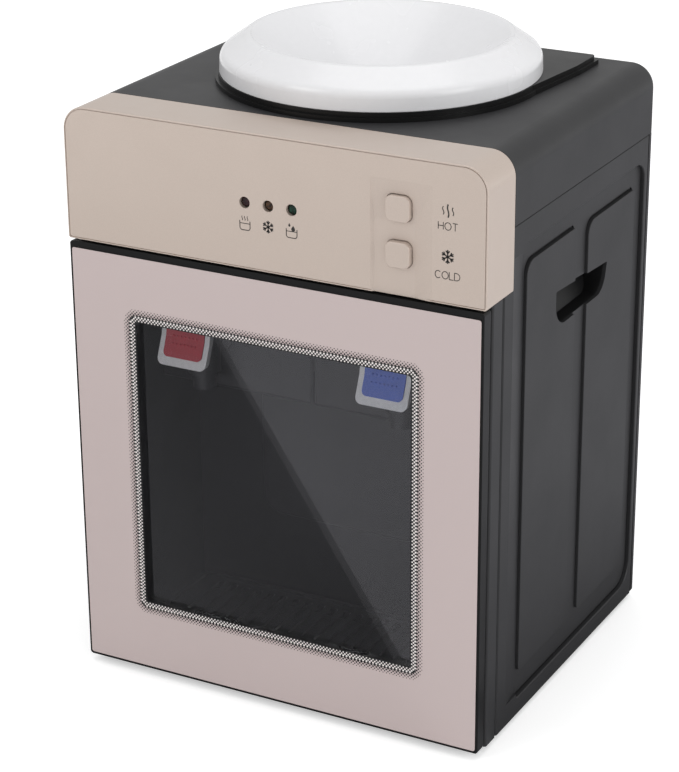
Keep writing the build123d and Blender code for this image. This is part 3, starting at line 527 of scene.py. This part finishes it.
def build_door_glass():
    """One sheet of glass: a painted border round a smoked window."""
    front, back = GLASS_LOW.y, GLASS_HIGH.y
    outer = rounded(GLASS_LOW.x, GLASS_HIGH.x, GLASS_LOW.z, GLASS_HIGH.z, GLASS_CORNER)
    rear_of_paint = front + PAINT
    layers = (
        ("door_glass_border", window_outline(0), front, rear_of_paint, FINISHES["door_glass"]),
        ("door_glass_frit", window_outline(-FRIT_IN), rear_of_paint, back, BLACK_DOT),
    )
    for name, window, near, far, material in layers:
        ring = piece(
            name,
            lambda shape: frame_ring(shape, outer, window, near, far),
            material,
            "door",
        )
        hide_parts("door_glass")
    pane = piece(
        "door_glass_window",
        lambda shape: slab(shape, window_outline(-FRIT_IN), rear_of_paint, back - rear_of_paint),
        SMOKE,
        "door",
    )
    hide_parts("door_glass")


def dot_grid(reach_in, reach_out):
    """Staggered grid points in the band round the window, with their depth into it."""
    step = DOT_PITCH / 2
    columns = int((WINDOW_HALF + reach_out) / step) + 1
    mid = (WINDOW_LOW + WINDOW_HIGH) / 2
    half_height = WINDOW_HIGH - mid
    rows = int((half_height + reach_out) / step) + 1
    for i in range(-columns, columns + 1):
        for j in range(-rows, rows + 1):
            if (i + j) % 2:
                continue
            x, rise = i * step, j * step
            side = abs(x) - WINDOW_HALF + WINDOW_CORNER
            end = abs(rise) - half_height + WINDOW_CORNER
            out = math.hypot(max(side, 0), max(end, 0)) + min(max(side, end), 0) - WINDOW_CORNER
            if -reach_in < out < reach_out:
                yield x, mid + rise, out


def print_dots():
    """Halftone edge: light dots shrink into the window, dark dots shrink out of it."""
    front = GLASS_LOW.y - DOT_PROUD
    light, dark = [], []
    for x, z, out in dot_grid(FRIT_IN - 0.4, FRIT_OUT):
        if out < 0:
            light.append((x, z, FULL_DOT * (1 - abs(out) / 10)))
        else:
            dark.append((x, z, FULL_DOT * 1.1 * (1 - out / 6.5)))
    for name, dots, ink in (("light_dots", light, LIGHT_DOT), ("dark_dots", dark, BLACK_DOT)):
        def draw(shape, dots=dots, thick=PAINT if dots is light else DOT_PROUD):
            for x, z, radius in dots:
                slab(shape, ellipse(x, z, radius, radius, DOT_SIDES), front, thick)

        piece(name, draw, ink, "door")


# ---------------------------------------------------------------- studio

CAMERA_AT = Vector((0.6619, -1.2595, 0.7552))
CAMERA_YAW, CAMERA_PITCH, CAMERA_ROLL = (math.radians(a) for a in (28.06, 22.53, -0.28))
CAMERA_LENS = 116.13
CAMERA_SHIFT = (-0.0192, 0.0045)
FLOOR_SIZE = 14.0
FLOOR_GLOW = 0.45
WORLD_STRENGTH = 0.65

# The slanting line across the window, as (x, z) of its ends in millimetres on the glass.
SLANT_TOP = (-50, 252)
SLANT_FOOT = (86, 42)
CARD_REACH = 1.2
DARK_CARD_SHADE = 0.16
LIGHT_CARD_SHADE = 0.52
# Left, right, near and far edges of the card beside the object, in metres.
SIDE_CARD = (0.16, 1.9, -0.05, 2.2)
SIDE_CARD_SHADE = 0.62


def add_camera():
    data = bpy.data.cameras.new("camera")
    data.sensor_width = 36.0
    data.lens = CAMERA_LENS
    data.shift_x, data.shift_y = CAMERA_SHIFT
    data.clip_start, data.clip_end = 0.05, 60.0
    camera = bpy.data.objects.new("camera", data)
    bpy.context.scene.collection.objects.link(camera)
    flat = math.cos(CAMERA_PITCH)
    heading = Vector((-math.sin(CAMERA_YAW), math.cos(CAMERA_YAW), 0))
    ahead = heading * flat - Vector((0, 0, math.sin(CAMERA_PITCH)))
    level = Vector((math.cos(CAMERA_YAW), math.sin(CAMERA_YAW), 0))
    upward = level.cross(ahead)
    right = level * math.cos(CAMERA_ROLL) + upward * math.sin(CAMERA_ROLL)
    up = upward * math.cos(CAMERA_ROLL) - level * math.sin(CAMERA_ROLL)
    turn = Matrix((right, up, -ahead)).transposed().to_4x4()
    camera.matrix_world = Matrix.Translation(CAMERA_AT) @ turn
    bpy.context.scene.camera = camera


def add_sheet(name, corners, material):
    mesh = bpy.data.meshes.new(name)
    mesh.from_pydata([tuple(c) for c in corners], [], [tuple(range(len(corners)))])
    mesh.materials.append(material)
    sheet = bpy.data.objects.new(name, mesh)
    bpy.context.scene.collection.objects.link(sheet)
    return sheet


def add_floor():
    half = FLOOR_SIZE / 2
    paper = Finish("studio_paper", (0.90, 0.90, 0.90, 1))
    paper.shader.inputs["Emission Color"].default_value = (1, 1, 1, 1)
    paper.shader.inputs["Emission Strength"].default_value = FLOOR_GLOW
    paper.mottle(paper.noise(4.0, 2.0), 0.995, 1.005)
    paper.rough(0.85, 0.95, 20.0)
    corners = [(-half, -half, 0), (half, -half, 0), (half, half, 0), (-half, half, 0)]
    add_sheet("studio_floor", corners, paper.material)


def area_light(name, place, target, size, power):
    """Square soft light that the camera doesn't see."""
    data = bpy.data.lights.new(name, "AREA")
    data.shape = "RECTANGLE"
    data.size, data.size_y = size, size
    data.energy = power
    lamp = bpy.data.objects.new(name, data)
    bpy.context.scene.collection.objects.link(lamp)
    lamp.location = place
    lamp.rotation_euler = (Vector(target) - Vector(place)).to_track_quat("-Z", "Y").to_euler()
    lamp.visible_camera = False


def add_world(strength):
    world = bpy.data.worlds.new("studio")
    world.use_nodes = True
    background = world.node_tree.nodes["Background"]
    background.inputs["Color"].default_value = (1, 1, 1, 1)
    background.inputs["Strength"].default_value = strength
    bpy.context.scene.world = world


def mirrored_on_floor(x, z):
    """Where the floor shows in the door glass at (x, z), seen from the camera."""
    point = Vector((x * MM, GLASS_LOW.y * MM, z * MM))
    ray = point - CAMERA_AT
    ray.y = -ray.y
    return point + ray * (point.z / -ray.z)


def reflection_card(name, corners, shade):
    """Card just above the floor that only reflections see."""
    card = Finish(name, (shade, shade, shade * 1.06, 1))
    card.rough(0.9, 1.0)
    lift = Vector((0, 0, 0.002))
    sheet = add_sheet(name, [c + lift for c in corners], card.material)
    sheet.visible_camera = False
    sheet.visible_diffuse = False
    sheet.visible_shadow = False
    sheet.visible_transmission = False


def add_cards():
    """Two cards meet in the slanting line of the window; the third calms the side."""
    top = mirrored_on_floor(*SLANT_TOP)
    foot = mirrored_on_floor(*SLANT_FOOT)
    run = (foot - top).normalized()
    away = Vector((run.y, -run.x, 0))
    if away.x > 0:
        away = -away
    start, end = top - run * 0.3, foot + run * 0.4
    reach = away * CARD_REACH
    dark = [start, end, end + reach, start + reach]
    light = [start, end, end - reach, start - reach]
    reflection_card("window_card_dark", dark, DARK_CARD_SHADE)
    reflection_card("window_card_light", light, LIGHT_CARD_SHADE)
    left, right, near, far = SIDE_CARD
    side = [(left, near, 0), (right, near, 0), (right, far, 0), (left, far, 0)]
    reflection_card("side_card", [Vector(c) for c in side], SIDE_CARD_SHADE)


def add_studio():
    add_camera()
    add_floor()
    add_world(WORLD_STRENGTH)
    area_light("overhead", (0.1, 0.1, 2.2), (0, 0, 0.2), 1.6, 11)
    area_light("key", (-1.4, -2.2, 1.9), (0, 0, 0.2), 1.2, 12)
    area_light("fill", (2.2, -0.3, 0.9), (0.1, 0, 0.2), 1.0, 10)
    add_cards()
    bpy.context.scene.view_settings.view_transform = "Standard"


dress_cad_nodes()
build_door_glass()
print_dots()
print_labels()
add_studio()
